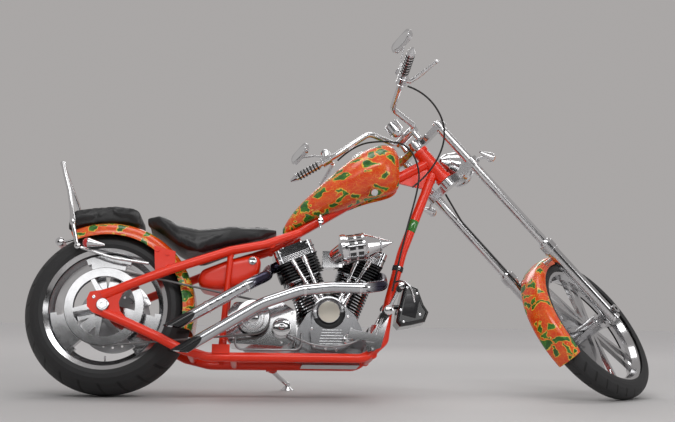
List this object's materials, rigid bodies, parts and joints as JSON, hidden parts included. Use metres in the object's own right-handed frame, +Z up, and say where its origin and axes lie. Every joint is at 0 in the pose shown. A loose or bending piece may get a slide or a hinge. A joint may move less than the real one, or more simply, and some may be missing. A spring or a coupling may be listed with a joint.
{
  "type": "motorcycle",
  "caption": "long raked chopper with rigid frame, V-twin engine, wide rear tyre, pulled-back bars, teardrop tank and sissy bar, leaning on its side stand",
  "frame": {"origin": "centre of the bounding box's bottom face, on the ground", "axes": "+X forward, +Y to the rider's left, +Z up"},
  "size_m": [2.6162, 0.671, 1.4787],
  "materials": {
    "frame_paint": "gloss orange red",
    "tank_paint": "gloss, artwork",
    "polished": "polished",
    "engine_black": "satin with polished fin edges",
    "chrome": "polished",
    "steel": "brushed",
    "leather": "satin",
    "black": "gloss",
    "hose": "satin",
    "tyre": "matt",
    "belt": "matt"
  },
  "bodies": {
    "frame": {"frame": "frame_paint", "rear_axle": "chrome", "engine_block": "polished", "front_cylinder": "engine_black", "rear_cylinder": "engine_black", "gearbox": "polished", "primary_cover": "chrome", "pushrod_tubes": "chrome", "air_cleaner": "chrome", "final_belt": "belt", "front_exhaust": "chrome", "rear_exhaust": "chrome", "fuel_tank": "tank_paint", "oil_tank": "frame_paint", "rider_seat": "leather", "passenger_seat": "leather", "rear_fender": "tank_paint", "sissy_bar": "chrome", "rear_lamps": "chrome", "rear_caliper": "chrome", "foot_controls": "chrome", "front_pod": "black", "oil_line": "hose", "clutch_cable": "hose", "throttle_cable": "hose"},
    "fork": {"triple_trees": "polished", "fork_tubes": "chrome", "fork_sliders": "chrome", "handlebar": "chrome", "grips": "chrome", "hand_controls": "chrome", "mirrors": "chrome", "speedometer": "chrome", "front_lamps": "chrome", "front_fender": "tank_paint", "front_caliper": "chrome", "brake_hose": "hose"},
    "front_wheel": {"front_tyre": "tyre", "front_rim": "polished", "front_disc": "steel"},
    "rear_wheel": {"rear_tyre": "tyre", "rear_rim": "polished", "rear_pulley": "polished", "rear_disc": "steel"},
    "side_stand": {"side_stand": "chrome"}
  },
  "joints": [
    {"name": "steering", "type": "hinge", "parent": "frame", "child": "fork", "pos_m": [0.41549, 0.0978, 0.89818], "axis": [0.642, -0.1331, -0.7551], "range_deg": [0, 90], "deforming": ["clutch_cable", "throttle_cable"]},
    {"name": "front_wheel_spin", "type": "hinge", "parent": "fork", "child": "front_wheel", "pos_m": [1.01843, 0.06094, 0.28456], "axis": [-0.5422, 0.6175, -0.5698], "continuous": true},
    {"name": "rear_wheel_spin", "type": "hinge", "parent": "frame", "child": "rear_wheel", "pos_m": [-0.98014, -0.00317, 0.32552], "axis": [0, 0.9848, -0.1736], "continuous": true},
    {"name": "side_stand_swing", "type": "hinge", "parent": "frame", "child": "side_stand", "pos_m": [-0.32881, 0.14824, 0.10025], "axis": [-0.3834, 0.923, -0.0332], "range_deg": [0, 144.6]}
  ]
}
